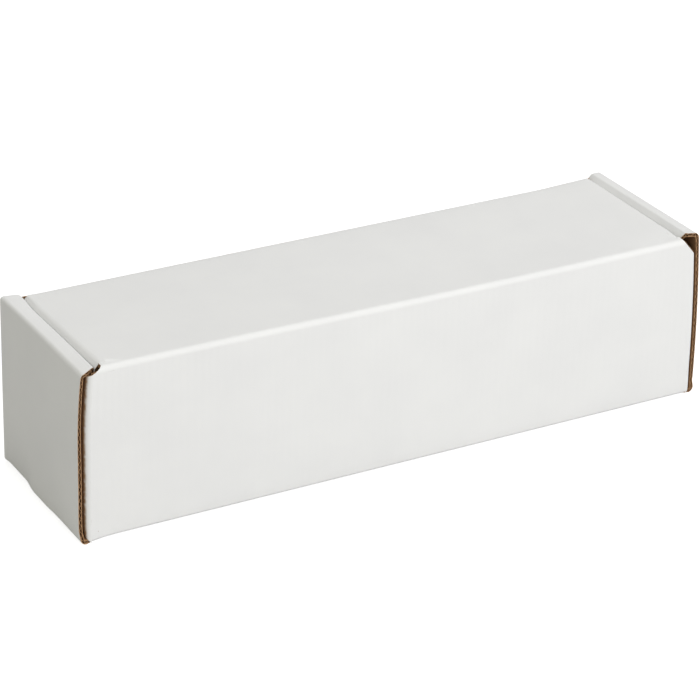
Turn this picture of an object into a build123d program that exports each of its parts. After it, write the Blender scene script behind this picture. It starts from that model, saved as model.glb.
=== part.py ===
from build123d import *
import math
import os

# A long corrugated mailer: one die-cut sheet of single-wall board, folded without glue.
# X runs along its length, +Z is up, and the origin is at the middle of its base.
# The lid hinges on the back wall, which stands at -Y, and tucks in behind the front wall at +Y.
# The end walls are rolled over double, and hold the corner flaps between their two layers.
# The sheet is one piece, parted here only at the lid's crease, so that the lid can swing.

# Driving dimensions, in millimetres and degrees
# The roll's outer fold, and the softer folds at its inner side and over the lid's ears, have their own radii
inside_length = 304.8
inside_width = 79.5
inside_height = 79.0
board = 1.7
roll_play = 4.7
fold_radius = 2.6
roll_radius = 3.6
soft_radius = 4.8
lid_play = 0.6
roll_rise = 0.8
lid_end_play = 0.4
edge_setback = 1.6
front_drop = 2.4

# Corner flaps, and the reliefs that part each corner crease from the folds above and below it
flap_length = 36.0
flap_gap = 1.0
flap_lean = 3.0
flap_head_room = 2.0
flap_foot_room = 1.2
flap_taper = 9.0
relief_drop = 6.0
relief_reach = 12.0
foot_relief_width = 4.2
foot_relief_height = 2.6

# Inner end walls, their locking tabs and the slots that take them
inner_wall_play = 0.6
tab_width = 18.0
tab_spacing = 42.0
tab_play = 0.3

# The lid's tuck flap and its ears
tuck_depth = 30.0
tuck_lean = 10.0
tuck_play = 0.4
tuck_end_play = 1.0
tuck_taper = 9.0
tuck_corner_radius = 8.0
ear_depth = 42.0
ear_back_play = 3.0
ear_front_play = 1.5
ear_back_taper = 6.0
ear_front_taper = 9.0
ear_corner_radius = 12.0
ear_notch = 0.5
hinge_gap = 0.3

# Sizes that follow from the driving ones
roll_width = 3 * board + roll_play
inner_face = inside_length / 2
half_length = inner_face + roll_width
half_width = (inside_width + 3 * board) / 2
lid_top = inside_height + 2 * board + lid_play
roll_top = lid_top + roll_rise
front_top = lid_top - front_drop
lid_half_length = inner_face - lid_end_play
crease_half_length = lid_half_length - ear_notch
flap_face = half_length - board - flap_gap
wall_inside = half_width - board
flap_head = roll_top - board - flap_head_room
flap_foot = board + flap_foot_room
relief_slope = relief_drop / (flap_face - crease_half_length)
lid_front = wall_inside - tuck_play
crease_inset = fold_radius * (1 - math.sqrt(0.5))
hinge_y = crease_inset - half_width
hinge_z = lid_top - crease_inset
stub = 3 * board
overrun = 2 * board


def other_face(face_points):
    """The folds of the board's other face, one thickness to the left of the points."""
    corners = [Vector(*point) for point in face_points]
    lefts = []
    for start, end in zip(corners, corners[1:]):
        along = (end - start).normalized()
        lefts.append(Vector(-along.Y, along.X))
    moved = [corners[0] + lefts[0] * board]
    for corner, before, after in zip(corners[1:], lefts, lefts[1:]):
        moved.append(corner + (before + after) * (board / (1 + before.dot(after))))
    moved.append(corners[-1] + lefts[-1] * board)
    return moved


def folded_sheet(plane, face_points, half_span, radii=None):
    """A strip of board, rounded at its folds, that reaches to both sides of its plane.

    The points are its outside face, which turns left at every fold, and the board lies to their left.
    Each fold has its own outside radius where radii are given, and the common one where they aren't.
    """
    outside_radii = radii or [fold_radius] * (len(face_points) - 2)
    inside_radii = [radius - board for radius in outside_radii]
    with BuildPart() as strip:
        with BuildSketch(plane):
            with BuildLine():
                outside = FilletPolyline(*face_points, radius=outside_radii)
                inside = FilletPolyline(*other_face(face_points), radius=inside_radii)
                Line(outside @ 0, inside @ 0)
                Line(outside @ 1, inside @ 1)
            make_face()
        extrude(amount=half_span, both=True)
    return strip.part


def outline_prism(plane, points, half_span, rounded=(), radius=0):
    """A prism over a closed outline, with the points listed in rounded taken to a radius."""
    with BuildPart() as prism:
        with BuildSketch(plane) as sketch:
            with BuildLine():
                Polyline(*points, close=True)
            make_face()
            if rounded:
                places = [plane.from_local_coords(point) for point in rounded]
                fillet([sketch.vertices().sort_by_distance(place)[0] for place in places], radius=radius)
        extrude(amount=half_span, both=True)
    return prism.part


def at_both_ends(piece):
    """A piece made at the +X end, together with its mirror image at the other end."""
    return piece + mirror(piece, about=Plane.YZ)


def end_strip():
    """The bottom, and at each end the outer wall, the rolled top and the inner wall."""
    inner_foot = board + tab_play
    face_points = [
        (-inner_face, inner_foot),
        (-inner_face, roll_top),
        (-half_length, roll_top),
        (-half_length, 0),
        (half_length, 0),
        (half_length, roll_top),
        (inner_face, roll_top),
        (inner_face, inner_foot),
    ]
    radii = [soft_radius, roll_radius, fold_radius, fold_radius, roll_radius, soft_radius]
    strip = folded_sheet(Plane.XZ, face_points, half_width - edge_setback, radii)
    strip -= inner_wall_trim(-1, lid_top) + inner_wall_trim(1, front_top)
    return strip - tab_slots() + locking_tabs()


def inner_wall_trim(side, wall_top):
    """What comes off the inner end walls' edges, so that they pass inside the back or front wall."""
    trim_width = board + inner_wall_play
    outer_edge = inner_face + board + inner_wall_play
    clear_top = wall_top + inner_wall_play
    points = [
        (inner_face - overrun, board),
        (inner_face - overrun, clear_top),
        (crease_half_length, clear_top),
        (outer_edge, clear_top - relief_slope * (outer_edge - crease_half_length)),
        (outer_edge, board),
    ]
    plane = Plane.XZ.offset(-side * (half_width - trim_width / 2))
    return at_both_ends(outline_prism(plane, points, trim_width / 2))


def locking_tabs():
    """Two tabs under each inner end wall, that reach down through the bottom's slots."""
    tab = Box(board, tab_width, board, align=(Align.CENTER, Align.CENTER, Align.MIN))
    places = GridLocations(2 * inner_face + board, tab_spacing, 2, 2)
    return Part() + [place * Pos(0, 0, tab_play) * tab for place in places]


def tab_slots():
    """The four slots in the bottom, a little larger than the tabs all round."""
    slot = Box(board + 2 * tab_play, tab_width + 2 * tab_play, 2 * overrun)
    places = GridLocations(2 * inner_face + board, tab_spacing, 2, 2)
    return Part() + [place * slot for place in places]


def mitre_zone(of_lid):
    """All that lies on the lid's side, or on the tray's side, of the slanting cut at the crease."""
    turn = 45 if of_lid else 225
    reach = 2 * stub
    step = (hinge_gap / 2) * math.sqrt(0.5)
    if of_lid:
        corner = (hinge_y - step, hinge_z - step)
    else:
        corner = (hinge_y + step, hinge_z + step)
    with BuildPart() as zone:
        with BuildSketch(Plane.YZ):
            with Locations(corner):
                Rectangle(reach, 2 * reach, rotation=turn, align=(Align.MIN, Align.CENTER))
        extrude(amount=half_length, both=True)
    return zone.part


def cross_strip():
    """The front wall, the bottom and the back wall, up to the cut at the lid's crease."""
    face_points = [
        (hinge_y + stub, lid_top),
        (-half_width, lid_top),
        (-half_width, 0),
        (half_width, 0),
        (half_width, front_top),
    ]
    strip = folded_sheet(Plane.YZ, face_points, flap_face - fold_radius)
    return strip - mitre_zone(of_lid=True)


def corner_flaps(side):
    """The two ends of the back wall, or of the front wall, folded in as corner flaps."""
    tip = half_width - flap_length
    tip_face = flap_face - flap_length * math.tan(math.radians(flap_lean))
    height = flap_head - flap_foot
    face_points = [
        (-tip_face, -tip),
        (-flap_face, -half_width),
        (flap_face, -half_width),
        (tip_face, -tip),
    ]
    middle = Plane.XY.offset(flap_foot + height / 2)
    strip = folded_sheet(middle, face_points, height / 2)
    keep_points = [
        (-half_width - overrun, flap_foot - overrun),
        (-half_width - overrun, flap_head + overrun),
        (-half_width + relief_reach, flap_head),
        (-tip, flap_head - flap_taper),
        (-tip, flap_foot + flap_taper),
        (-half_width + relief_reach, flap_foot),
        (-half_width, flap_foot - overrun),
    ]
    strip &= outline_prism(Plane.YZ, keep_points, half_length)
    if side > 0:
        strip = mirror(strip, about=Plane.XZ)
    return strip


def head_relief(side, wall_top):
    """The notch at the head of each corner crease, sloping down to it from the wall and from the flap."""
    shoulder = wall_top - relief_drop
    crown = roll_top + overrun
    wall_points = [
        (crease_half_length, wall_top),
        (flap_face, shoulder),
        (half_length, shoulder),
        (half_length, crown),
        (crease_half_length, crown),
    ]
    flap_points = [
        (side * (half_width + overrun), shoulder),
        (side * half_width, shoulder),
        (side * (half_width - relief_reach), flap_head),
        (side * (half_width - relief_reach), crown),
        (side * (half_width + overrun), crown),
    ]
    beside_wall = outline_prism(Plane.XZ, wall_points, half_width)
    beside_flap = outline_prism(Plane.YZ, flap_points, half_length)
    return at_both_ends(beside_wall & beside_flap)


def foot_relief():
    """The cut at the foot of each corner crease, where the bottom's raw edge shows."""
    points = [
        (flap_face - foot_relief_width, -overrun),
        (flap_face - foot_relief_width, 0),
        (flap_face, foot_relief_height),
        (half_length, foot_relief_height),
        (half_length, -overrun),
    ]
    return at_both_ends(outline_prism(Plane.XZ, points, half_width))


def tray():
    """The bottom with its four walls and all that is folded in between them."""
    walls = cross_strip() + corner_flaps(-1) + corner_flaps(1)
    walls -= head_relief(-1, lid_top) + head_relief(1, front_top) + foot_relief()
    return walls + end_strip()


def lid_strip():
    """The lid panel and the tuck flap, from the cut at the crease to the flap's tip."""
    lean = math.radians(tuck_lean)
    flap_tip = (lid_front - tuck_depth * math.sin(lean), lid_top - tuck_depth * math.cos(lean))
    face_points = [
        flap_tip,
        (lid_front, lid_top),
        (-half_width, lid_top),
        (-half_width, lid_top - stub),
    ]
    strip = folded_sheet(Plane.YZ, face_points, crease_half_length)
    return strip - mitre_zone(of_lid=False)


def tuck_outline():
    """The outline of the lid with its tapered tuck flap, seen from the front."""
    flap_root = lid_top - board
    flap_foot_level = lid_top - tuck_depth
    root_half_length = crease_half_length - tuck_end_play
    tip_half_length = root_half_length - tuck_taper
    tip = (tip_half_length, flap_foot_level)
    points = [
        (-crease_half_length, lid_top + overrun),
        (-crease_half_length, flap_root),
        (-root_half_length, flap_root),
        (-tip_half_length, flap_foot_level),
        tip,
        (root_half_length, flap_root),
        (crease_half_length, flap_root),
        (crease_half_length, lid_top + overrun),
    ]
    rounded = [(-tip_half_length, flap_foot_level), tip]
    return outline_prism(Plane.XZ, points, half_width, rounded, tuck_corner_radius)


def ears():
    """The two ears, folded down from the lid's ends and tapered to their foot."""
    face_points = [
        (lid_half_length, lid_top - ear_depth),
        (lid_half_length, lid_top),
        (-lid_half_length, lid_top),
        (-lid_half_length, lid_top - ear_depth),
    ]
    strip = folded_sheet(Plane.XZ, face_points, half_width, [soft_radius, soft_radius])
    back = -wall_inside + ear_back_play
    front = lid_front - board - ear_front_play
    foot = lid_top - ear_depth
    back_foot = (back + ear_back_taper, foot)
    front_foot = (front - ear_front_taper, foot)
    points = [
        (back, lid_top),
        back_foot,
        front_foot,
        (front, lid_top),
    ]
    return strip & outline_prism(Plane.YZ, points, half_length, [back_foot, front_foot], ear_corner_radius)


def lid():
    """The lid panel with its tuck flap and its ears."""
    return (lid_strip() & tuck_outline()) + ears()


os.makedirs("parts", exist_ok=True)
for node, make in (("tray", tray), ("lid", lid)):
    piece = make()
    piece.label = node
    export_step(piece, f"parts/{node}.step")
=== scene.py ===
import math

import bpy
import numpy as np
from mathutils import Matrix, Vector


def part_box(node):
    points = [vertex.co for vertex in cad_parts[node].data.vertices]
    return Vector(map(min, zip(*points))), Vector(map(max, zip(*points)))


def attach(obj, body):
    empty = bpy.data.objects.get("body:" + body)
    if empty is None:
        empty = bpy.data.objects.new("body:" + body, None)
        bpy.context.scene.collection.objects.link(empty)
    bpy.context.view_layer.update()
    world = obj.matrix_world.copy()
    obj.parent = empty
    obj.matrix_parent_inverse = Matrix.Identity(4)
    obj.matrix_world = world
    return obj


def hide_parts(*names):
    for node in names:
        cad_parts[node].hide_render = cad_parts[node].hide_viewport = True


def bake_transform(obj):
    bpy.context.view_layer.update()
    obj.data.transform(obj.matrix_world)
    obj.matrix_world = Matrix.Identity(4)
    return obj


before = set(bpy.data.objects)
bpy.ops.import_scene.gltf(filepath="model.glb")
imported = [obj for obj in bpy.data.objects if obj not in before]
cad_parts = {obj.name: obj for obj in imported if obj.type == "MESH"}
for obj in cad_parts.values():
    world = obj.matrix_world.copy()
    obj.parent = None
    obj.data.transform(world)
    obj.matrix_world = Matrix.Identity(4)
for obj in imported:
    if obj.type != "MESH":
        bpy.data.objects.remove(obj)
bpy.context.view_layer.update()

# The corrugated mailer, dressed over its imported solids.
# Each panel is laid out flat, as the die cuts it, and then folded: its length runs along the outside
# face of a folded path, its span runs across that path, and its depth goes into the board.
# The board has its real section: an outer and an inner liner with the fluted paper between them.
# Lengths are in millimetres until a mesh is made. Angles are in degrees.
MM = 0.001
tray_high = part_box("tray")[1] / MM
lid_low, lid_high = [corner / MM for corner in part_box("lid")]

# What the solids give
half_length, half_width, roll_top = tray_high
lid_half_length, lid_top = lid_high.x, lid_high.z
ear_foot = lid_low.z

# The same named values as in the part's source
board = 1.7
roll_width = 9.8
fold_radius = 2.6
soft_radius = 4.8
edge_setback = 1.6
front_drop = 2.4
flap_length = 36.0
flap_gap = 1.0
flap_lean = 3.0
flap_head_room = 2.0
flap_foot_room = 1.2
flap_taper = 9.0
relief_drop = 6.0
relief_reach = 12.0
foot_relief_width = 4.2
inner_wall_play = 0.6
tab_width = 18.0
tab_spacing = 42.0
tab_play = 0.3
tuck_depth = 30.0
tuck_lean = 10.0
tuck_play = 0.4
tuck_end_play = 1.0
tuck_taper = 9.0
tuck_corner_radius = 8.0
ear_back_play = 3.0
ear_back_taper = 6.0
ear_front_taper = 9.0
ear_corner_radius = 12.0
ear_notch = 0.5

# Sizes that follow
inner_face = half_length - roll_width
front_top = lid_top - front_drop
flap_face = half_length - board - flap_gap
crease_half_length = lid_half_length - ear_notch
wall_inside = half_width - board
flap_head = roll_top - board - flap_head_room
flap_foot = board + flap_foot_room
lid_front = wall_inside - tuck_play
wall_reach = flap_face - fold_radius
strip_reach = half_width - edge_setback
bottom_seam = inner_face - 3 * board

# The box in the photo differs a little from left to right, and here these sizes follow it.
# The cuts at the heads of the corner creases: where they start along X and how far they drop
relief_starts = {-1: lid_half_length, 1: crease_half_length}
relief_drops = {-1: 3.6, 1: 9.0}
# The rolls' folds are tighter, and the right roll's inner side is pressed to a slope
roll_radii = {-1: 1.9, 1: 2.6}
left_inner_radius = 2.4
roll_slope_width, roll_slope_drop, roll_slope_radius = 3.5, 3.0, 2.0
# The rolled strip's near edge draws in from its outer fold to its inner one, and comes out at the foot
roll_taper = 3.2
foot_reach = 1.2
foot_reach_starts, foot_reach_run, foot_reach_ends = 4.0, 1.5, 3.0
# The left corner flaps are lower at the head, the cut at the foot is higher, and the bottom folds are tighter
left_flap_drop = 1.5
flap_heads = {-1: flap_head - left_flap_drop, 1: flap_head}
foot_cut = 4.2
bottom_radius = 2.0
# The ears bend down over a slope, and reach a little nearer to the front
ear_slope_width, ear_slope_drop = 1.7, 2.2
ear_slope_radius, ear_fold_radius = 2.5, 1.2
ear_front_gap = 0.5
# The white paper is worn off where the corners bend, from and to these shares of the bend
wear_shares = (0.3, 0.95)

# How the left roll is pressed down: near and far, and what its outer and inner sides add or take back
left_press_foot = 60.0
press_curve = 1.5
near_press, near_press_outer, near_press_inner = 0.9, 2.3, 0.6
far_press, far_press_inner = 0.9, 0.5
far_lift_outer, far_lift_inner = 1.0, 0.3
far_end_share = 0.75
# How its inner wall is spread outwards
wall_spread_foot = 20.0
wall_spread, near_wall_spread, far_wall_return = 0.4, 1.6, 1.2
# How the left ear follows it
ear_bend_width = 3.5
ear_spread, ear_spread_loss, ear_far_return, ear_lift = 1.5, 1.0, 0.9, 0.5
# How the right roll stands up, and how its near mouth is opened
right_rise_foot = 74.0
right_rise, right_rise_loss = 1.2, 0.7
mouth_share, mouth_rise, mouth_widening = 1 / 3, 1.3, 1.0
mouth_crest_shares = (0.2, 0.45)

# How the walls and the lid have settled
end_zone = (144.0, 158.0)
right_roll_zone = (151.0, 157.0)
top_zone_foot = 70.0
wall_bow = 0.4
lid_sag, lid_twist = 0.25, 0.7
crease_wander, crease_wander_place, crease_wander_run, crease_drop = 0.45, -125.0, 57.0, 0.15
crease_end_steepness = 6
lid_end_rise, lid_end_zone, lid_end_shares = 0.8, (120.0, 150.0), (-0.95, -0.7)
left_lean, left_lean_share = 2.3, 0.55
foot_share = 0.3
foot_dent, foot_dent_shares = 1.1, (0.58, 0.72)
foot_bulge, foot_bulge_shares = 0.5, (0.3, 0.42)
foot_spread, far_foot_spread, far_foot_share = 0.4, 0.8, 0.93
corner_kick, corner_kick_zone, corner_kick_height, corner_kick_share = 1.8, (147.0, 160.0), 14.0, 1 / 4
right_bulge, right_lean = 1.6, 4.4
right_foot_tuck, right_foot_share = 0.5, 0.12
flap_spread, flap_spread_share, flap_spread_margin = 0.8, 0.15, 0.1

# The paper: how thick the liners and the fluted paper are, and the flutes' pitch
liner = 0.28
medium = 0.22
flute_pitch = 3.6
# How far in from an open edge the flutes are drawn, and how far inside the other edges they are closed
mouth_depth = 9.0
inset = 0.6
# The share of the inner wall's foot that is closed, and how far past the lid's crease the open heads begin
curtain_share = 0.99
head_margin = 2.0

# How finely the mesh is drawn
flat_step = 5.0
bend_steps = 8
flute_steps = 10
row_gap, same_row = 0.01, 1e-5
sharp_angle = 40
wall_columns, end_columns, flap_columns = 48, 24, 16
tab_rows, tab_columns = 2, 4
crease_rows, crease_columns = 16, 60
mouth_rows, mouth_columns = 2, 3
seam_points, seam_share = 6, 0.3
tuck_corner_points, ear_corner_points, curtain_points = 7, 9, 9

# Places in a material list
WHITE, KRAFT, EDGE, FLUTE = range(4)


class Fold:
    """The board's outside face seen end on: straight runs with a rounded left turn at each corner."""

    def __init__(self, points, radii=None):
        radii = radii or [fold_radius] * (len(points) - 2)
        self.pieces = []
        corners = [np.array(point, float) for point in points]
        runs = [b - a for a, b in zip(corners, corners[1:])]
        lengths = [np.linalg.norm(run) for run in runs]
        along = [run / length for run, length in zip(runs, lengths)]
        begin, start, trimmed = 0.0, corners[0], 0.0
        for i, length in enumerate(lengths):
            turn = tangent = 0.0
            if i + 1 < len(lengths):
                here, after = along[i], along[i + 1]
                turn = math.atan2(here[0] * after[1] - here[1] * after[0], here @ after)
                tangent = radii[i] * math.tan(turn / 2)
            straight = length - trimmed - tangent
            self.pieces.append((begin, straight, start, along[i], 0))
            begin += straight
            start = start + along[i] * straight
            if turn:
                self.pieces.append((begin, radii[i] * turn, start, along[i], radii[i]))
                begin += radii[i] * turn
                start = corners[i + 1] + along[i + 1] * tangent
                trimmed = tangent
        self.length = begin

    def place(self, length, depth):
        """Where points lie that are this far along the outside face and this deep in the board."""
        length, depth = np.broadcast_arrays(np.asarray(length, float), np.asarray(depth, float))
        place = np.zeros(length.shape + (2,))
        for i, (begin, _, start, along, radius) in enumerate(self.pieces):
            here = length >= begin if i else np.full(length.shape, True)
            run, deep = length[here] - begin, depth[here]
            left = np.array((-along[1], along[0]))
            if radius:
                angle = run / radius
                outward = np.sin(angle)[:, None] * along - np.cos(angle)[:, None] * left
                place[here] = start + left * radius + outward * (radius - deep)[:, None]
            else:
                place[here] = start + run[:, None] * along + deep[:, None] * left
        return place

    def stations(self, first=0.0, extra=()):
        """Places along the path where the mesh has a row: close in the bends, wider between them."""
        places = [first, self.length, *extra]
        for begin, extent, _, _, radius in self.pieces:
            count = bend_steps if radius else max(1, round(extent / flat_step))
            places += list(begin + np.linspace(0, extent, count + 1))
        places = np.array(sorted(p for p in places if first <= p <= self.length))
        return places[np.concatenate(([True], np.diff(places) > same_row))]


class Panel:
    """A folded path with the plane it lies in, and the signs that mirror it to another place."""

    def __init__(self, points, plane, mirror=(1, 1), radii=None, press=None):
        self.fold = Fold(points, radii)
        self.press = press
        self.plane = plane
        self.mirror = mirror
        self.flipped = (plane == "XZ") != (mirror[0] * mirror[1] < 0)

    def place(self, length, span, depth):
        path = self.fold.place(length, depth)
        u, v = path[..., 0], path[..., 1]
        span = np.broadcast_to(span, u.shape)
        x, y, z = {"YZ": (span, u, v), "XZ": (u, span, v), "XY": (u, v, span)}[self.plane]
        place = np.stack((x * self.mirror[0], y * self.mirror[1], z), -1)
        return settle(self.press(place) if self.press else place)


def ease(value, start, end):
    """0 before start, 1 after end, and a smooth step between them."""
    t = np.clip((value - start) / (end - start), 0, 1)
    return t * t * (3 - 2 * t)


def far_share(y):
    """0 at the hinge side of the box and 1 at its front."""
    return (1 + np.clip(y / half_width, -1, 1)) / 2


def press_left_roll(p):
    """The left roll has been pressed down, most at its near outer side, and its inner wall is spread."""
    x, y, z = p[..., 0], p[..., 1], p[..., 2]
    far = far_share(y)
    near_end, far_end = (1 - far) ** press_curve, ease(far, far_end_share, 1)
    outer = np.clip((-x - inner_face) / roll_width, 0, 1)
    inner = 1 - outer
    rise = far_lift_outer * far * outer - far_press * far
    rise -= (near_press + near_press_outer * outer + near_press_inner * inner) * near_end
    rise += (far_lift_inner * far_end - far_press_inner * far) * inner**2
    z = z + rise * ease(z, left_press_foot, lid_top)
    spread = wall_spread + near_wall_spread * near_end - far_wall_return * far_end
    return np.stack((x - spread * inner * ease(z, wall_spread_foot, roll_top), y, z), -1)


def press_right_roll(p):
    """The right roll stands up a little, and its near mouth is opened."""
    x, y, z = p[..., 0], p[..., 1], p[..., 2]
    far = far_share(y)
    outer = np.clip((x - inner_face) / roll_width, 0, 1)
    z = z + (right_rise - right_rise_loss * far) * ease(z, right_rise_foot, roll_top)
    at_mouth = np.clip(1 - far / mouth_share, 0, 1) ** 2 * ease(z, right_rise_foot, roll_top)
    crest, foot = mouth_crest_shares
    z = z + mouth_rise * at_mouth * ease(outer, 0, crest) * (1 - ease(outer, crest, foot))
    return np.stack((x - mouth_widening * at_mouth * (1 - outer), y, z), -1)


def press_left_ear(p):
    """The left ear follows the roll's inner wall, and is bent less at its far end."""
    x, y, z = p[..., 0], p[..., 1], p[..., 2]
    far = far_share(y)
    bend = ease(-x, lid_half_length - ear_bend_width, lid_half_length) * ease(z, left_press_foot, lid_top)
    spread = ear_spread - ear_spread_loss * far - ear_far_return * ease(far, far_end_share, 1)
    return np.stack((x - spread * bend, y, z + ear_lift * far * bend), -1)


roll_presses = {-1: press_left_roll, 1: press_right_roll}
ear_presses = {-1: press_left_ear, 1: None}


def settle(p):
    """How this folded box has settled, in the same place for every layer of its board."""
    x, y, z = p[..., 0].copy(), p[..., 1].copy(), p[..., 2].copy()
    out, far = np.clip(y / half_width, -1, 1), far_share(y)
    height = np.clip(z / roll_top, 0, 1)
    middle = 1 - np.clip(x / half_length, -1, 1) ** 2
    at_left, at_right = ease(-x, *end_zone), ease(x, *end_zone)
    beside_right_roll = 1 - ease(x, *right_roll_zone)
    at_top = ease(z, top_zone_foot, lid_top)

    # The long walls bow out a little, the lid sags and twists, and its crease wanders
    y += out * np.sin(np.pi * height) * middle * wall_bow
    wander = crease_wander * np.cos((x - crease_wander_place) / crease_wander_run) - crease_drop
    near_crease = np.clip(0.5 - out, 0, 1) * np.clip(middle * crease_end_steepness, 0, 1)
    twist = lid_twist * far * x / half_length
    z += at_top * (wander * near_crease + twist - lid_sag * middle * (1 - out**2))
    z += lid_end_rise * at_top * ease(x, *lid_end_zone) * beside_right_roll * ease(out, *lid_end_shares)

    # The left end leans in at its near top, its foot is dented, and the near corner is kicked out
    lean = np.clip(height - left_lean_share, 0, 1) / (1 - left_lean_share)
    in_dent = ease(far, *foot_dent_shares)
    dent = foot_dent * in_dent - foot_bulge * ease(far, *foot_bulge_shares) * (1 - in_dent) - foot_spread
    dent -= far_foot_spread * ease(far, far_foot_share, 1)
    foot = np.clip(1 - height / foot_share, 0, 1)
    x += at_left * (left_lean * (1 - far) * lean**2 + dent * foot**2)
    low, near = np.clip(1 - z / corner_kick_height, 0, 1), np.clip(1 - far / corner_kick_share, 0, 1)
    y -= corner_kick * ease(-x, *corner_kick_zone) * low**2 * near

    # The right end leans in at the top and bulges low down, where the flap inside it is pressed outwards
    foot = np.clip(1 - height / right_foot_share, 0, 1)
    x += at_right * (right_bulge - right_lean * height**2 - right_foot_tuck * foot**2)
    gap = flap_face + flap_spread_margin, flap_face + flap_gap - flap_spread_margin
    inside_wall = at_right * (1 - ease(np.abs(p[..., 0]), *gap))
    x += flap_spread * inside_wall * np.clip(1 - height / flap_spread_share, 0, 1)
    return np.stack((x, y, z), -1)


class Board:
    """One mesh in the making: its points, its faces, the material of each and its flat layout."""

    def __init__(self):
        self.points, self.faces, self.slots, self.flat, self.wear = [], [], [], [], []
        self.count = 0

    def add_points(self, places, flat, wear=0.0):
        start = self.count
        self.wear.append(np.broadcast_to(wear, places.shape[:-1]).ravel())
        self.points.append(places.reshape(-1, 3))
        self.flat.append(flat.reshape(-1, 2))
        self.count += self.points[-1].shape[0]
        return start + np.arange(self.points[-1].shape[0]).reshape(places.shape[:-1])

    def add_face(self, corners, slot, flip=False):
        self.faces.append(corners[::-1] if flip else corners)
        self.slots.append(slot)

    def shell(self, panel, length, span, near, far, slots, flat, keep=None, wear=0.0):
        """A closed thin solid between two depths, over a grid of lengths and spans."""
        rows, columns = length.shape
        keep = np.full((rows - 1, columns - 1), True) if keep is None else keep
        outer = self.add_points(panel.place(length, span, near), flat, wear).tolist()
        inner = self.add_points(panel.place(length, span, far), flat).tolist()
        flip = panel.flipped
        outside, inside, rim = slots
        for i in range(rows - 1):
            for j in range(columns - 1):
                if not keep[i][j]:
                    continue
                ring = ((i, j), (i + 1, j), (i + 1, j + 1), (i, j + 1))
                self.add_face([outer[a][b] for a, b in ring], outside, flip)
                self.add_face([inner[a][b] for a, b in ring], inside, not flip)
                steps = ((0, -1), (1, 0), (0, 1), (-1, 0))
                for k, (di, dj) in enumerate(steps):
                    a, b = i + di, j + dj
                    if 0 <= a < rows - 1 and 0 <= b < columns - 1 and keep[a][b]:
                        continue
                    p, q = ring[k], ring[(k + 1) % 4]
                    side = [outer[p[0]][p[1]], inner[p[0]][p[1]], inner[q[0]][q[1]], outer[q[0]][q[1]]]
                    self.add_face(side, rim, flip)

    def curtain(self, panel, length, span):
        """Closes the gap between the liners along a line, as fluted paper does where it is cut lengthways."""
        depth = np.array((liner, board - liner))
        places = panel.place(length[:, None], span[:, None], depth[None, :])
        ids = self.add_points(places, np.zeros(places.shape[:-1] + (2,))).tolist()
        for a, b in zip(ids, ids[1:]):
            self.add_face([a[0], b[0], b[1], a[1]], FLUTE)

    def cross_curtain(self, panel, length, spans):
        """The same along one line across the path."""
        self.curtain(panel, np.full(spans.size, length), spans)

    def build(self, name, materials):
        mesh = bpy.data.meshes.new(name)
        points = np.concatenate(self.points) * MM
        mesh.from_pydata(points.tolist(), [], self.faces)
        for material in materials:
            mesh.materials.append(material)
        mesh.polygons.foreach_set("material_index", self.slots)
        layout = mesh.uv_layers.new(name="flat_sheet")
        corners = np.zeros(len(mesh.loops), int)
        mesh.loops.foreach_get("vertex_index", corners)
        layout.data.foreach_set("uv", np.concatenate(self.flat)[corners].ravel() * MM * flat_units)
        worn = mesh.attributes.new("wear", "FLOAT", "POINT")
        worn.data.foreach_set("value", np.concatenate(self.wear).astype(np.float32))
        mesh.shade_smooth()
        mesh.set_sharp_from_angle(angle=math.radians(sharp_angle))
        mesh.validate()
        piece = bpy.data.objects.new(name, mesh)
        bpy.context.scene.collection.objects.link(piece)
        return piece


def grid(lengths, low, high, columns):
    """Lengths and spans for a panel that reaches from low to high at each length."""
    share = np.linspace(0, 1, columns + 1) if np.isscalar(columns) else np.asarray(columns)
    length = np.repeat(lengths[:, None], share.size, 1)
    return length, low[:, None] + (high - low)[:, None] * share[None, :]


def flat_of(length, span, along_span):
    """The flat layout: the first number runs across the flutes and the second along them."""
    pair = (length, span) if along_span else (span, length)
    return np.stack(pair, -1)


def liners(mesh, panel, length, span, along_span, keep=None, wear=0.0):
    """The white outer liner and the brown inner one."""
    flat = flat_of(length, span, along_span)
    mesh.shell(panel, length, span, 0.0, liner, (WHITE, KRAFT, EDGE), flat, keep, wear)
    mesh.shell(panel, length, span, board - liner, board, (KRAFT, KRAFT, EDGE), flat, keep)


def medium_depth(across):
    """How deep the middle of the fluted paper lies, at a place across the flutes."""
    swing = (board - 2 * liner - medium) / 2
    return board / 2 + swing * np.cos(across * (2 * math.pi / flute_pitch))


def flutes_along_span(mesh, panel, lengths, low, high):
    """Fluted paper whose channels run across the path, and open at both edges of the strip."""
    first, last = lengths[0], lengths[-1]
    fine = np.arange(first, last, flute_pitch / flute_steps)
    low, high = np.interp(fine, lengths, low), np.interp(fine, lengths, high)
    middle = (low + high) / 2
    mouths = (low, np.minimum(low + mouth_depth, middle)), (np.maximum(high - mouth_depth, middle), high)
    for begin, end in mouths:
        length, span = grid(fine, begin, end, mouth_columns)
        depth = medium_depth(length)
        flat = flat_of(length, span, True)
        mesh.shell(panel, length, span, depth - medium / 2, depth + medium / 2, (FLUTE, FLUTE, EDGE), flat)


def flutes_along_path(mesh, panel, spans, begin, end):
    """Fluted paper whose channels run along the path, between two lengths for each place of the span."""
    share = np.linspace(0, 1, mouth_rows + 1)
    span = np.repeat(spans[None, :], share.size, 0)
    length = begin[None, :] + (end - begin)[None, :] * share[:, None]
    depth = medium_depth(span)
    flat = flat_of(length, span, False)
    mesh.shell(panel, length, span, depth - medium / 2, depth + medium / 2, (FLUTE, FLUTE, EDGE), flat)


def fine_spans(first, last):
    return np.arange(first, last, flute_pitch / flute_steps)


def relief_reach_at(height, wall_top, side):
    """How far along X a long wall reaches at a height, under the slanting cut at its head."""
    run = flap_face - relief_starts[side]
    return relief_starts[side] + np.clip((wall_top - height) * run / relief_drops[side], 0, run)


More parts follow.
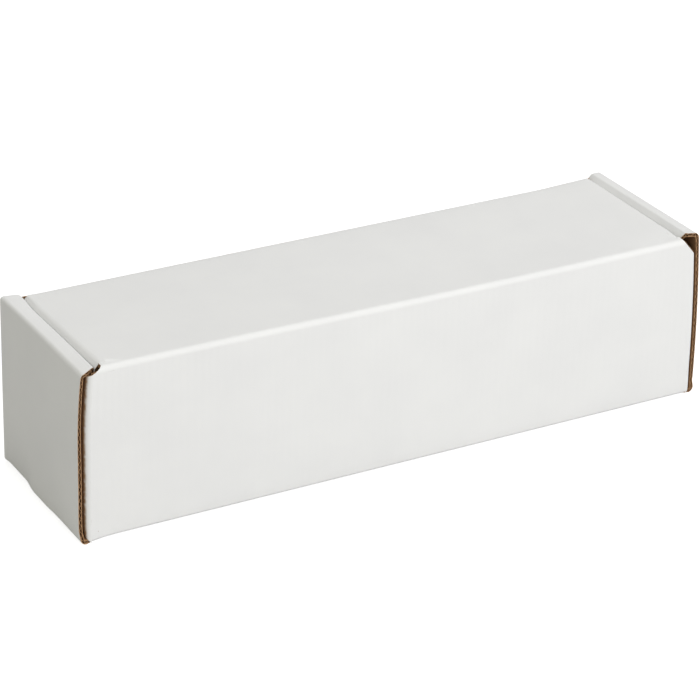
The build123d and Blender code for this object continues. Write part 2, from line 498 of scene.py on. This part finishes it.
def relief_height_at(reach, wall_top, side):
    """The other way round: where the slanting cut lies at a place along X."""
    return wall_top - (reach - relief_starts[side]) * relief_drops[side] / (flap_face - relief_starts[side])


def foot_reach_at(height):
    """How far along X a long wall reaches at a height, above the rounded cut at its foot."""
    rise = np.clip((foot_cut - height) / foot_cut, 0, 1)
    return flap_face - foot_relief_width * (1 - np.sqrt(1 - rise**2))


def cross_strip(mesh):
    """Back wall, bottom and front wall."""
    points = [
        (-half_width, lid_top - fold_radius),
        (-half_width, 0),
        (half_width, 0),
        (half_width, front_top),
    ]
    panel = Panel(points, "YZ", radii=[bottom_radius, bottom_radius])
    fold = panel.fold
    back_bend, front_wall = fold.pieces[1], fold.pieces[4]
    angle = math.acos((strip_reach - half_width + bottom_radius) / bottom_radius)
    seam = bottom_radius * angle
    back_seam, front_seam = back_bend[0] + seam, front_wall[0] - seam
    extra = [back_seam, back_seam + row_gap, front_seam - row_gap, front_seam]
    for side in (-1, 1):
        drop = lid_top - relief_height_at(wall_reach, lid_top, side)
        extra += [fold.length - drop, max(drop - fold_radius, 0)]
    extra += list(back_bend[0] + np.linspace(1 - seam_share, 1, seam_points) * seam)
    extra += list(front_seam + np.linspace(0, seam_share, seam_points) * seam)
    lengths = fold.stations(extra=extra)
    places = fold.place(lengths, 0.0)
    wall_top = np.where(places[:, 0] < 0, lid_top, front_top)
    reaches = []
    for side in (-1, 1):
        reach = np.minimum(relief_reach_at(places[:, 1], wall_top, side), foot_reach_at(places[:, 1]))
        reach = np.minimum(reach, wall_reach)
        reach[(lengths > back_seam) & (lengths < front_seam)] = bottom_seam
        reaches.append(reach)
    length, span = grid(lengths, -reaches[0], reaches[1], wall_columns)
    liners(mesh, panel, length, span, False)

    spans = fine_spans(-wall_reach, wall_reach)
    tops = {}
    for wall_top in (lid_top, front_top):
        heads = [relief_height_at(np.abs(spans), wall_top, side) for side in (-1, 1)]
        tops[wall_top] = np.minimum(np.where(spans < 0, heads[0], heads[1]), wall_top)
    end = fold.length - front_top + tops[front_top]
    flutes_along_path(mesh, panel, spans, end - mouth_depth, end)
    end_begins = crease_half_length + head_margin
    for at_end in (spans < -end_begins, spans > end_begins):
        begin = np.maximum(lid_top - fold_radius - tops[lid_top][at_end], 0)
        flutes_along_path(mesh, panel, spans[at_end], begin, begin + mouth_depth)


def end_strip(mesh, side):
    """One end: the rest of the bottom, the outer wall, the rolled top and the inner wall."""
    foot = board + tab_play
    points = [(bottom_seam, 0), (half_length, 0), (half_length, roll_top)]
    if side > 0:
        points += [(inner_face + roll_slope_width, roll_top), (inner_face, roll_top - roll_slope_drop)]
        inner_radii = [roll_slope_radius, roll_slope_radius]
    else:
        points += [(inner_face, roll_top)]
        inner_radii = [left_inner_radius]
    points += [(inner_face, foot)]
    radii = [fold_radius, roll_radii[side], *inner_radii]
    panel = Panel(points, "XZ", (side, 1), radii, roll_presses[side])
    fold = panel.fold
    foot_bend, outer_wall, top = fold.pieces[1], fold.pieces[2], fold.pieces[4]
    inner_wall = fold.pieces[-1]
    slot_low, slot_high = inner_face - tab_play - bottom_seam, inner_face + board + tab_play - bottom_seam
    foot_begin, foot_end = foot_bend[0] - foot_reach_starts, outer_wall[0] + foot_reach_ends
    lengths = fold.stations(extra=[slot_low, slot_high, foot_begin, foot_end])
    inner_reach = wall_inside - inner_wall_play
    widths = [
        (foot_begin, strip_reach),
        (foot_begin + foot_reach_run, strip_reach + foot_reach),
        (outer_wall[0], strip_reach + foot_reach),
        (foot_end, strip_reach),
        (top[0], strip_reach),
        (inner_wall[0], strip_reach - roll_taper),
        (inner_wall[0] + relief_drop, inner_reach),
    ]
    near_reach = np.interp(lengths, *zip(*widths))
    reach = np.interp(lengths, [inner_wall[0], inner_wall[0] + relief_drop], [strip_reach, inner_reach])
    slot_half = tab_width / 2 + tab_play
    edges = [tab_spacing / 2 - slot_half, tab_spacing / 2 + slot_half]
    even_spans = np.linspace(-strip_reach, strip_reach, end_columns + 1)
    spans = np.array(sorted([*even_spans, *edges, *[-edge_at for edge_at in edges]]))
    share = (spans + strip_reach) / (2 * strip_reach)
    length, span = grid(lengths, -near_reach, reach, share)
    middle_length = (lengths[:-1] + lengths[1:]) / 2
    middle_span = np.abs((spans[:-1] + spans[1:]) / 2)
    in_length = (middle_length > slot_low) & (middle_length < slot_high)
    in_span = (middle_span > edges[0]) & (middle_span < edges[1])
    liners(mesh, panel, length, span, True, ~(in_length[:, None] & in_span[None, :]))
    outside = lengths >= slot_high
    flutes_along_span(mesh, panel, lengths[outside], -near_reach[outside], reach[outside])
    foot_spans = np.linspace(-inner_reach, inner_reach, curtain_points) * curtain_share
    mesh.cross_curtain(panel, fold.length - inset, foot_spans)

    tab_points = [(inner_face, foot), (inner_face, tab_play)]
    tab = Panel(tab_points, "XZ", (side, 1))
    for middle in (-tab_spacing / 2, tab_spacing / 2):
        lengths = np.linspace(0, foot - tab_play, tab_rows + 1)
        low = np.full(lengths.size, middle - tab_width / 2)
        length, span = grid(lengths, low, low + tab_width, tab_columns)
        liners(mesh, tab, length, span, True)
        flutes_along_span(mesh, tab, lengths, low, low + tab_width)
        tab_spans = middle + np.linspace(-tab_width / 2, tab_width / 2, tab_columns + 1)
        mesh.cross_curtain(tab, foot - tab_play - inset / 2, tab_spans)


def corner_flap(mesh, side_x, side_y):
    """One end of a long wall: the bend round the box's corner and the flap inside the end wall."""
    wall_top = lid_top if side_y < 0 else front_top
    tip = half_width - flap_length
    tip_face = flap_face - flap_length * math.tan(math.radians(flap_lean))
    lead = 2 * board
    points = [(wall_reach - lead, -half_width), (flap_face, -half_width), (tip_face, -tip)]
    panel = Panel(points, "XY", (side_x, -side_y))
    fold = panel.fold
    lengths = fold.stations(first=lead, extra=[fold.length - flap_length + relief_reach])
    places = fold.place(lengths, 0.0)
    x, y = places[:, 0], places[:, 1]
    shoulder = wall_top - relief_drops[side_x]
    wall_line = relief_height_at(x, wall_top, side_x)
    flap_line = np.interp(
        y,
        [-half_width, -half_width + relief_reach, -tip],
        [shoulder, flap_heads[side_x], flap_heads[side_x] - flap_taper],
    )
    high = np.maximum(np.maximum(wall_line, shoulder), flap_line)
    corner_x = np.clip((x - flap_face + foot_relief_width) / foot_relief_width, 0, 1)
    wall_foot = foot_cut * (1 - np.sqrt(1 - corner_x**2))
    flap_low = np.interp(
        y,
        [-half_width + fold_radius, -half_width + relief_reach, -tip],
        [foot_cut, flap_foot, flap_foot + flap_taper],
    )
    low = np.where(y < -half_width + fold_radius, wall_foot, flap_low)
    length, span = grid(lengths, low, high, flap_columns)
    bend_begin, bend_extent = fold.pieces[1][:2]
    wear = ease((length - bend_begin) / bend_extent, *wear_shares)
    liners(mesh, panel, length, span, True, wear=wear)
    flutes_along_span(mesh, panel, lengths, low, high)
    mesh.cross_curtain(panel, fold.length - inset, np.linspace(low[-1], high[-1], curtain_points))


def make_tray():
    mesh = Board()
    cross_strip(mesh)
    for side in (-1, 1):
        end_strip(mesh, side)
        for side_y in (-1, 1):
            corner_flap(mesh, side, side_y)
    return mesh


def rounded_end(height, radius):
    """How far a rounded corner draws an edge in, at a height above the corner's foot."""
    short = np.clip((radius - height) / radius, 0, 1)
    return radius * (1 - np.sqrt(1 - short**2))


def lid_panel(mesh):
    """The lid's top with the front crease and the tuck flap."""
    lean = math.radians(tuck_lean)
    tip = (lid_front - tuck_depth * math.sin(lean), lid_top - tuck_depth * math.cos(lean))
    points = [tip, (lid_front, lid_top), (-half_width + fold_radius, lid_top)]
    panel = Panel(points, "YZ")
    fold = panel.fold
    ear_back, ear_front = ear_roots()
    top_end = fold.length + fold_radius - half_width
    front_at, back_at = top_end - ear_front, top_end - ear_back
    root = tuck_depth - board
    extra = [front_at, front_at + row_gap, back_at - row_gap, back_at, root, root + row_gap]
    lengths = fold.stations(extra=[*extra, *np.linspace(0, tuck_corner_radius, tuck_corner_points)])
    half_root = crease_half_length - tuck_end_play
    reach = np.interp(lengths, [0, root], [half_root - tuck_taper, half_root])
    reach = reach - rounded_end(lengths, tuck_corner_radius)
    in_ear = (lengths > front_at) & (lengths < back_at)
    reach = np.where(in_ear, lid_half_length - soft_radius, reach)
    reach = np.where((lengths > root) & (lengths <= front_at), crease_half_length, reach)
    left, right = [np.where(lengths >= back_at, relief_starts[side], reach) for side in (-1, 1)]
    length, span = grid(lengths, -left, right, wall_columns)
    liners(mesh, panel, length, span, False)
    spans = fine_spans(-half_root, half_root)
    flap = lengths <= root
    begin = np.interp(np.abs(spans), reach[flap], lengths[flap])
    flutes_along_path(mesh, panel, spans, begin, begin + mouth_depth)
    for side, edge_at in ((-1, left), (1, right)):
        for part in (lengths <= root, (lengths > root) & (lengths <= front_at), lengths >= back_at):
            mesh.curtain(panel, lengths[part], side * (edge_at[part] - inset))


def ear_roots():
    back = -wall_inside + ear_back_play
    return back, lid_front - board - ear_front_gap


def ear(mesh, side):
    """One ear, with the rounded crease that joins it to the lid."""
    back, front = ear_roots()
    points = [
        (lid_half_length, ear_foot),
        (lid_half_length, lid_top - ear_slope_drop),
        (lid_half_length - ear_slope_width, lid_top),
        (lid_half_length - soft_radius, lid_top),
    ]
    panel = Panel(points, "XZ", (side, 1), [ear_fold_radius, ear_slope_radius], ear_presses[side])
    fold = panel.fold
    lengths = fold.stations(extra=np.linspace(0, ear_corner_radius, ear_corner_points))
    depth = lid_top - ear_foot
    draw_in = rounded_end(lengths, ear_corner_radius)
    low = np.interp(lengths, [0, depth], [back + ear_back_taper, back]) + draw_in
    high = np.interp(lengths, [0, depth], [front - ear_front_taper, front]) - draw_in
    low[lengths > fold.pieces[1][0]] = back
    high[lengths > fold.pieces[1][0]] = front
    length, span = grid(lengths, low, high, flap_columns)
    liners(mesh, panel, length, span, True)
    flutes_along_span(mesh, panel, lengths, low, high)
    mesh.cross_curtain(panel, inset, np.linspace(low[0], high[0], curtain_points))


def make_lid():
    mesh = Board()
    lid_panel(mesh)
    for side in (-1, 1):
        ear(mesh, side)
    return mesh


def make_crease():
    """The rounded crease that joins the lid to the back wall."""
    mesh = Board()
    points = [
        (-half_width + fold_radius, lid_top),
        (-half_width, lid_top),
        (-half_width, lid_top - fold_radius),
    ]
    panel = Panel(points, "YZ")
    lengths = np.linspace(0, panel.fold.length, crease_rows + 1)
    height = panel.fold.place(lengths, 0.0)[:, 1]
    reaches = [relief_reach_at(height, lid_top, side) for side in (-1, 1)]
    length, span = grid(lengths, -reaches[0], reaches[1], crease_columns)
    liners(mesh, panel, length, span, False)
    for side, reach in zip((-1, 1), reaches):
        mesh.curtain(panel, lengths, side * (reach - inset))
    return mesh


# Materials: the darker and the lighter colour of each paper
white_colours = (0.785, 0.785, 0.78), (0.812, 0.812, 0.803)
kraft_colours = (0.28, 0.155, 0.075), (0.43, 0.26, 0.14)
edge_colours = (0.31, 0.165, 0.08), (0.52, 0.32, 0.175)
flute_colours = (0.20, 0.11, 0.055), (0.33, 0.20, 0.11)
# The white that the mottling varies, and the brown under it where it is worn off
white_colour = (0.8, 0.8, 0.79)
bared_colour = (0.33, 0.2, 0.11)
white_roughness, kraft_roughness = 0.62, 0.85
white_specular, kraft_specular = 0.3, 0.2
# The patterns' scales, and how deep the bumps are in metres and how strong
mottle_scale, wear_scale, uneven_scale = 28.0, 420.0, 60.0
white_fibre_scale, kraft_fibre_scale = (900, 900, 900), (1400, 260, 700)
white_fibre_depth, flute_depth, uneven_depth, kraft_fibre_depth = 0.00002, 0.000012, 0.00025, 0.00005
white_fibre_strength, uneven_strength, kraft_fibre_strength = 0.5, 0.4, 0.6
# Where the ramps between two colours begin and end
mottle_stops, wear_stops, fibre_stops = (0.3, 0.7), (0.1, 0.4), (0.25, 0.75)
# The flat layout is in tenths of a metre, and the wave node turns by 20 radians in one unit at a scale of 1
flat_units = 10
wave_turn = 20


def new_material(name, colour, roughness):
    material = bpy.data.materials.new(name)
    material.use_nodes = True
    nodes, links = material.node_tree.nodes, material.node_tree.links
    shader = nodes["Principled BSDF"]
    shader.inputs["Base Color"].default_value = (*colour, 1)
    shader.inputs["Roughness"].default_value = roughness
    shader.inputs["Specular IOR Level"].default_value = white_specular
    return material, nodes, links, shader


def noise(nodes, links, source, scale, detail, roughness=0.55):
    texture = nodes.new("ShaderNodeTexNoise")
    texture.inputs["Scale"].default_value = scale
    texture.inputs["Detail"].default_value = detail
    texture.inputs["Roughness"].default_value = roughness
    links.new(source, texture.inputs["Vector"])
    return texture.outputs["Fac"]


def ramp(nodes, links, source, stops):
    node = nodes.new("ShaderNodeValToRGB")
    elements = node.color_ramp.elements
    while len(elements) > 1:
        elements.remove(elements[-1])
    for i, (place, colour) in enumerate(stops):
        element = elements[0] if i == 0 else elements.new(place)
        element.position = place
        element.color = (*colour, 1)
    links.new(source, node.inputs["Fac"])
    return node.outputs["Color"]


def bump(nodes, links, shader, height, distance, strength, before=None):
    node = nodes.new("ShaderNodeBump")
    node.inputs["Distance"].default_value = distance
    node.inputs["Strength"].default_value = strength
    links.new(height, node.inputs["Height"])
    if before is not None:
        links.new(before, node.inputs["Normal"])
    links.new(node.outputs["Normal"], shader.inputs["Normal"])
    return node.outputs["Normal"]


def stretched(nodes, links, source, scale):
    mapping = nodes.new("ShaderNodeMapping")
    mapping.inputs["Scale"].default_value = scale
    links.new(source, mapping.inputs["Vector"])
    return mapping.outputs["Vector"]


def flute_wave(nodes, links, source, pitch):
    """Rises and falls once for each flute, across the flat sheet."""
    wave = nodes.new("ShaderNodeTexWave")
    wave.wave_type = "BANDS"
    wave.bands_direction = "X"
    wave.wave_profile = "SIN"
    wave.inputs["Scale"].default_value = 2 * math.pi / (wave_turn * pitch * MM * flat_units)
    wave.inputs["Distortion"].default_value = 0.0
    links.new(source, wave.inputs["Vector"])
    return wave.outputs["Fac"]


def white_paper():
    """White coated paper, slightly mottled, that shows the flutes under it very faintly."""
    material, nodes, links, shader = new_material("white_paper", white_colour, white_roughness)
    place = nodes.new("ShaderNodeTexCoord").outputs["Object"]
    sheet = nodes.new("ShaderNodeUVMap")
    sheet.uv_map = "flat_sheet"
    cloudy = noise(nodes, links, place, mottle_scale, 3.0)
    colour = ramp(nodes, links, cloudy, zip(mottle_stops, white_colours))
    worn = nodes.new("ShaderNodeAttribute")
    worn.attribute_name = "wear"
    patchy = noise(nodes, links, place, wear_scale, 3.0, 0.7)
    rubbed = nodes.new("ShaderNodeMath")
    rubbed.operation = "MULTIPLY"
    links.new(worn.outputs["Fac"], rubbed.inputs[0])
    links.new(patchy, rubbed.inputs[1])
    share = ramp(nodes, links, rubbed.outputs[0], zip(wear_stops, ((0, 0, 0), (1, 1, 1))))
    mix = nodes.new("ShaderNodeMix")
    mix.data_type = "RGBA"
    mix.inputs["B"].default_value = (*bared_colour, 1)
    links.new(share, mix.inputs["Factor"])
    links.new(colour, mix.inputs["A"])
    links.new(mix.outputs["Result"], shader.inputs["Base Color"])
    fibre = noise(nodes, links, stretched(nodes, links, place, white_fibre_scale), 1.0, 3.0)
    first = bump(nodes, links, shader, fibre, white_fibre_depth, white_fibre_strength)
    wave = flute_wave(nodes, links, sheet.outputs["UV"], flute_pitch)
    second = bump(nodes, links, shader, wave, flute_depth, 1.0, first)
    uneven = noise(nodes, links, place, uneven_scale, 2.0)
    bump(nodes, links, shader, uneven, uneven_depth, uneven_strength, second)
    return material


def kraft_paper(name, low, high):
    """Uncoated brown paper with long fibres and darker flecks."""
    material, nodes, links, shader = new_material(name, high, kraft_roughness)
    shader.inputs["Specular IOR Level"].default_value = kraft_specular
    place = nodes.new("ShaderNodeTexCoord").outputs["Object"]
    fibres = noise(nodes, links, stretched(nodes, links, place, kraft_fibre_scale), 1.0, 5.0, 0.65)
    colour = ramp(nodes, links, fibres, zip(fibre_stops, (low, high)))
    links.new(colour, shader.inputs["Base Color"])
    bump(nodes, links, shader, fibres, kraft_fibre_depth, kraft_fibre_strength)
    return material


def floor_material():
    """A white floor that takes the object's soft shadow, and is white to the camera away from it."""
    material = bpy.data.materials.new("studio_floor")
    material.use_nodes = True
    nodes, links = material.node_tree.nodes, material.node_tree.links
    nodes.clear()
    output = nodes.new("ShaderNodeOutputMaterial")
    add = nodes.new("ShaderNodeAddShader")
    diffuse = nodes.new("ShaderNodeBsdfDiffuse")
    diffuse.inputs["Color"].default_value = floor_colour
    glow = nodes.new("ShaderNodeEmission")
    glow.inputs["Color"].default_value = (1, 1, 1, 1)
    seen = nodes.new("ShaderNodeLightPath")
    level = nodes.new("ShaderNodeMath")
    level.operation = "MULTIPLY"
    level.inputs[1].default_value = floor_glow
    links.new(seen.outputs["Is Camera Ray"], level.inputs[0])
    links.new(level.outputs[0], glow.inputs["Strength"])
    links.new(diffuse.outputs[0], add.inputs[0])
    links.new(glow.outputs[0], add.inputs[1])
    links.new(add.outputs[0], output.inputs["Surface"])
    return material


# The camera, solved from the edges of the box in the photograph
camera_azimuth = 30.415
camera_elevation = 26.46
camera_roll = 1.96
camera_distance = 1282.2
camera_focus = (0.0, 0.7, 41.0)
camera_aside = (-4.54, -1.73)
focal_pixels = 2759.6
frame_pixels = 700.0
sensor_width = 36.0
view_end = 20

# The studio
floor_reach = 3.0
floor_colour = (0.62, 0.62, 0.62, 1)
floor_glow = 0.72
world_level = 0.46
lamp_target = (0, 0, 0.04)
# Each lamp's name, place and width in metres, power and colour
studio_lamps = [
    ("key", (0.5, -1.7, 0.9), 1.2, 21.6, (1, 1, 1)),
    ("fill", (-1.4, -0.6, 1.2), 1.2, 2.1, (1.0, 0.97, 0.6)),
    ("low", (-1.5, -0.2, 0.15), 0.5, 0.4, (1.0, 0.93, 0.2)),
    ("top", (0.5, 0.2, 1.8), 1.4, 9.7, (1, 1, 1)),
]


def make_camera():
    azimuth, elevation, roll = [
        math.radians(angle) for angle in (camera_azimuth, camera_elevation, camera_roll)
    ]
    ahead = Vector(
        (
            math.sin(azimuth) * math.cos(elevation),
            math.cos(azimuth) * math.cos(elevation),
            -math.sin(elevation),
        )
    )
    level = ahead.cross(Vector((0, 0, 1))).normalized()
    up = level.cross(ahead)
    right = level * math.cos(roll) + up * math.sin(roll)
    upward = up * math.cos(roll) - level * math.sin(roll)
    place = Vector(camera_focus) - ahead * camera_distance
    place += right * camera_aside[0] + upward * camera_aside[1]
    data = bpy.data.cameras.new("camera")
    data.sensor_width = sensor_width
    data.lens = focal_pixels / frame_pixels * sensor_width
    data.clip_end = view_end
    camera = bpy.data.objects.new("camera", data)
    turn = Matrix((right, upward, -ahead)).transposed().to_4x4()
    camera.matrix_world = Matrix.Translation(place * MM) @ turn
    bpy.context.scene.collection.objects.link(camera)
    bpy.context.scene.camera = camera


def make_floor():
    mesh = bpy.data.meshes.new("floor")
    signs = ((-1, -1), (1, -1), (1, 1), (-1, 1))
    corners = [(x * floor_reach, y * floor_reach, 0) for x, y in signs]
    mesh.from_pydata(corners, [], [(0, 1, 2, 3)])
    mesh.materials.append(floor_material())
    floor = bpy.data.objects.new("floor", mesh)
    bpy.context.scene.collection.objects.link(floor)


def make_lamp(name, place, width, power, colour):
    data = bpy.data.lights.new(name, "AREA")
    data.shape = "SQUARE"
    data.size = width
    data.energy = power
    data.color = colour
    lamp = bpy.data.objects.new(name, data)
    lamp.location = place
    lamp.rotation_euler = (Vector(lamp_target) - Vector(place)).to_track_quat("-Z", "Y").to_euler()
    bpy.context.scene.collection.objects.link(lamp)


def make_world():
    """A plain grey light on the object, and white to the camera."""
    world = bpy.data.worlds.new("studio")
    bpy.context.scene.world = world
    world.use_nodes = True
    nodes, links = world.node_tree.nodes, world.node_tree.links
    nodes.clear()
    output = nodes.new("ShaderNodeOutputWorld")
    mix = nodes.new("ShaderNodeMixShader")
    seen = nodes.new("ShaderNodeLightPath")
    links.new(seen.outputs["Is Camera Ray"], mix.inputs["Fac"])
    for place, level in ((1, world_level), (2, 1.0)):
        background = nodes.new("ShaderNodeBackground")
        background.inputs["Color"].default_value = (1, 1, 1, 1)
        background.inputs["Strength"].default_value = level
        links.new(background.outputs[0], mix.inputs[place])
    links.new(mix.outputs[0], output.inputs["Surface"])


bpy.context.scene.view_settings.view_transform = "Standard"
white = white_paper()
kraft = kraft_paper("kraft_paper", *kraft_colours)
edge = kraft_paper("cut_edge", *edge_colours)
flute = kraft_paper("flute_paper", *flute_colours)
materials = [white, kraft, edge, flute]

tray = make_tray().build("tray_board", materials)
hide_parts("tray")
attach(tray, "tray")
lid = make_lid().build("lid_board", materials)
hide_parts("lid")
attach(lid, "lid")
crease = make_crease().build("lid_crease", materials)
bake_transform(crease)

make_floor()
make_world()
make_camera()
for lamp in studio_lamps:
    make_lamp(*lamp)
